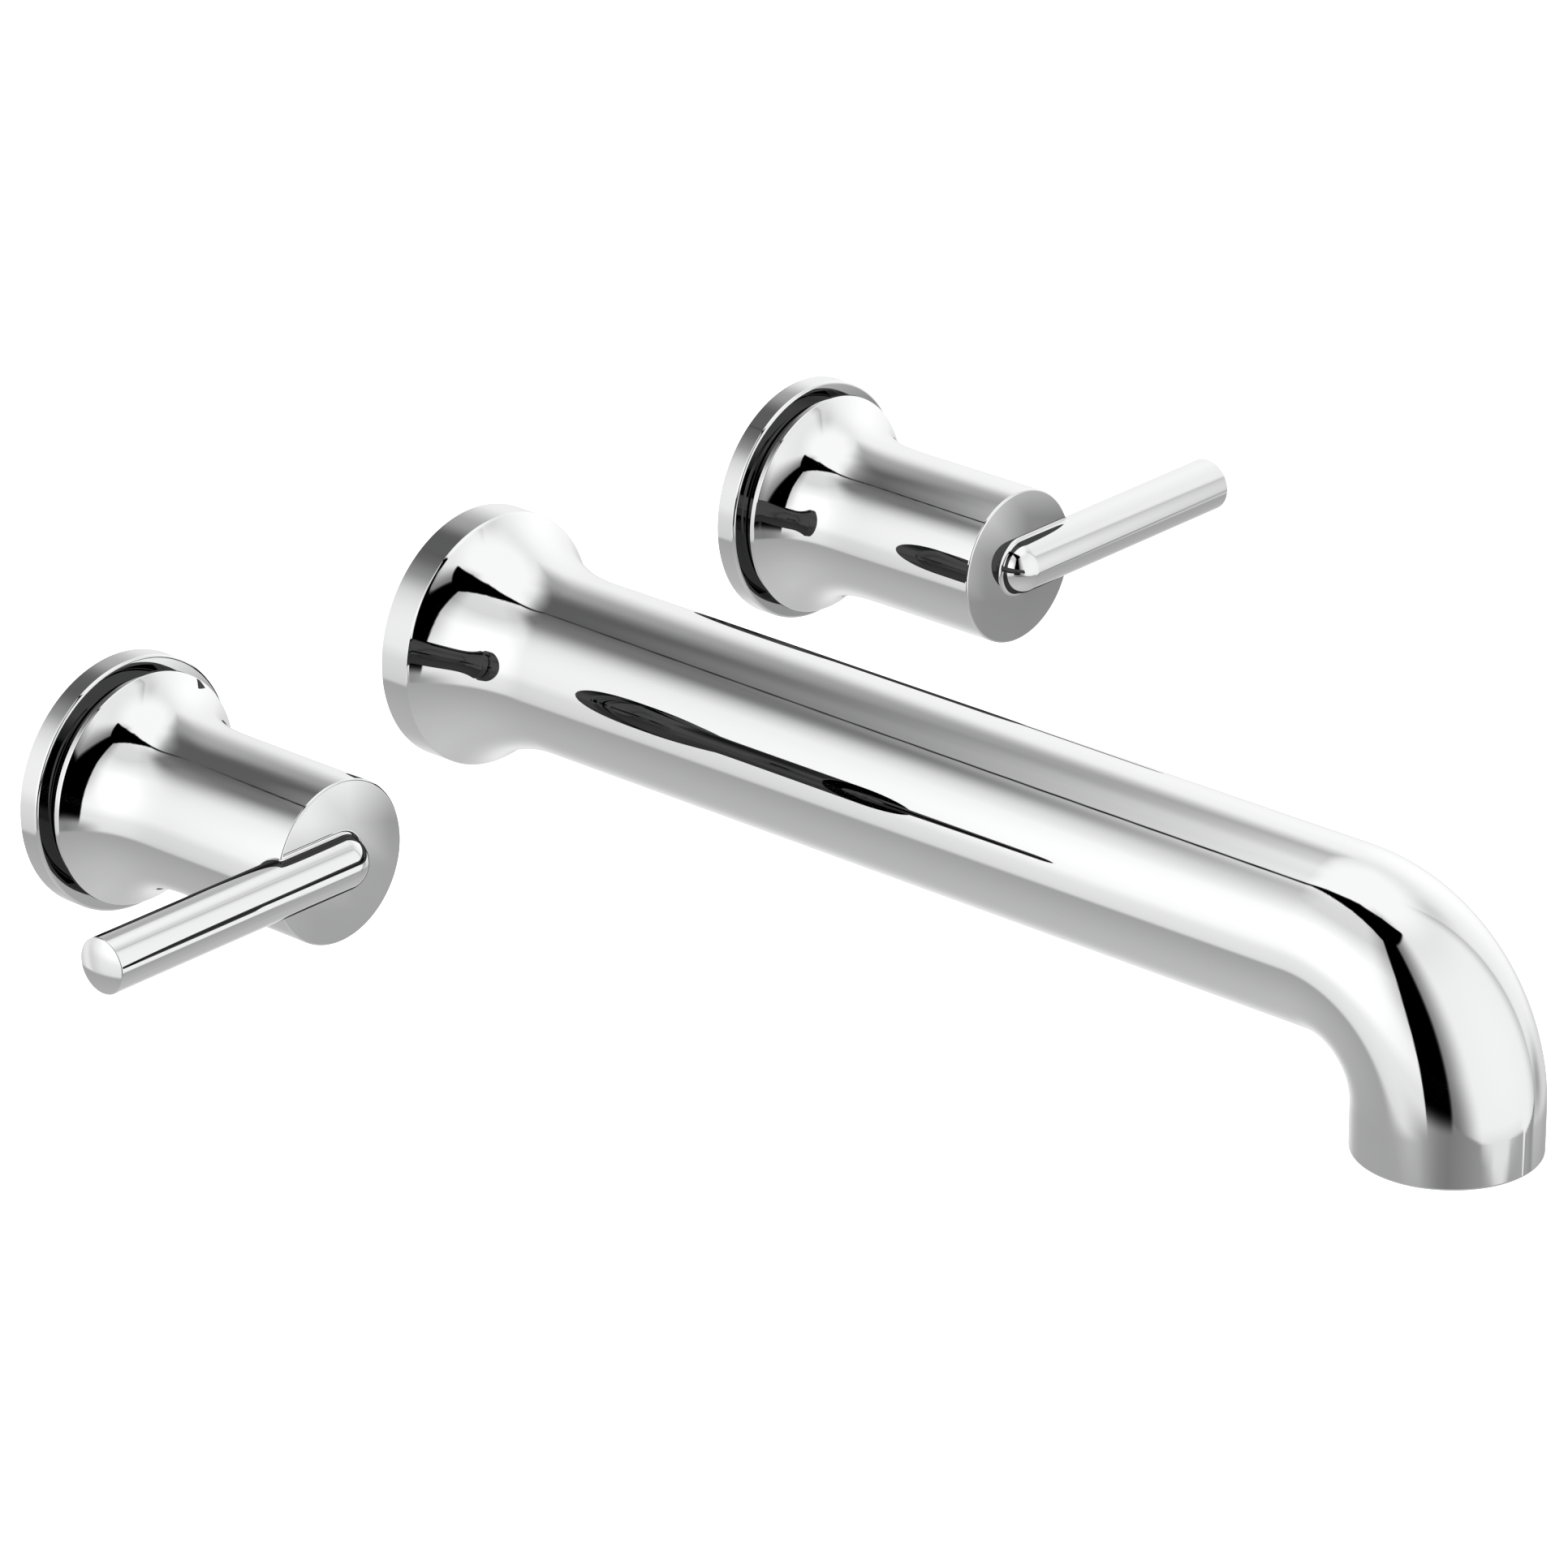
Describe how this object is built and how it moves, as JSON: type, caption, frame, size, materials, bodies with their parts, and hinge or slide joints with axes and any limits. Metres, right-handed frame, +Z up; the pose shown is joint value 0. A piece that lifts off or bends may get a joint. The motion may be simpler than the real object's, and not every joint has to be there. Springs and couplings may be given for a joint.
{
  "type": "wall mounted bath faucet",
  "caption": "Wall-mounted bath faucet in polished chrome: a long round spout with a downturned end between separate quarter-turn lever handles on flared round hubs.",
  "frame": {"origin": "where the spout's axis meets the finished wall, midway between the handles", "axes": "+X to the right seen from the front, +Y into the wall, +Z up; the faucet stands out towards -Y"},
  "size_m": [0.3322, 0.2745, 0.0631],
  "materials": {
    "polished_chrome": "mirror polished chrome plate",
    "brass": "machined, unplated",
    "steel": "machined stainless steel",
    "rubber": "moulded black rubber",
    "foam_rubber": "closed-cell foam rubber",
    "nylon": "moulded natural nylon",
    "ceramic": "lapped white ceramic"
  },
  "bodies": {
    "wall_fittings": {"spout_body": "polished_chrome", "spout_wall_gasket": "foam_rubber", "spout_nipple": "brass", "spout_connector": "brass", "spout_o_ring_rear": "rubber", "spout_o_ring_front": "rubber", "spout_set_screw": "steel", "aerator_washer": "rubber", "aerator_housing": "polished_chrome", "aerator_screen": "steel", "flow_straightener": "nylon", "left_escutcheon_ring": "polished_chrome", "left_wall_gasket": "foam_rubber", "left_valve_neck": "brass", "left_escutcheon_nut": "brass", "left_guide_bush": "nylon", "left_cartridge_body": "brass", "left_cartridge_seal": "rubber", "left_stem_o_ring": "rubber", "left_fixed_disc": "ceramic", "left_bonnet_nut": "brass", "right_escutcheon_ring": "polished_chrome", "right_wall_gasket": "foam_rubber", "right_valve_neck": "brass", "right_escutcheon_nut": "brass", "right_guide_bush": "nylon", "right_cartridge_body": "brass", "right_cartridge_seal": "rubber", "right_stem_o_ring": "rubber", "right_fixed_disc": "ceramic", "right_bonnet_nut": "brass"},
    "left_handle": {"left_turning_disc": "ceramic", "left_valve_stem": "brass", "left_spline_adapter": "brass", "left_stem_screw": "steel", "left_handle_hub": "polished_chrome", "left_lever_rod": "polished_chrome", "left_lever_screw": "steel", "left_hub_set_screw": "steel"},
    "right_handle": {"right_turning_disc": "ceramic", "right_valve_stem": "brass", "right_spline_adapter": "brass", "right_stem_screw": "steel", "right_handle_hub": "polished_chrome", "right_lever_rod": "polished_chrome", "right_lever_screw": "steel", "right_hub_set_screw": "steel"}
  },
  "joints": [
    {"name": "left_handle_turn", "type": "hinge", "parent": "wall_fittings", "child": "left_handle", "pos_m": [-0.1016, -0.0624, 0], "axis": [0, -1, 0], "range_deg": [0, 90]},
    {"name": "right_handle_turn", "type": "hinge", "parent": "wall_fittings", "child": "right_handle", "pos_m": [0.1016, -0.0624, 0], "axis": [0, 1, 0], "range_deg": [0, 90]}
  ]
}
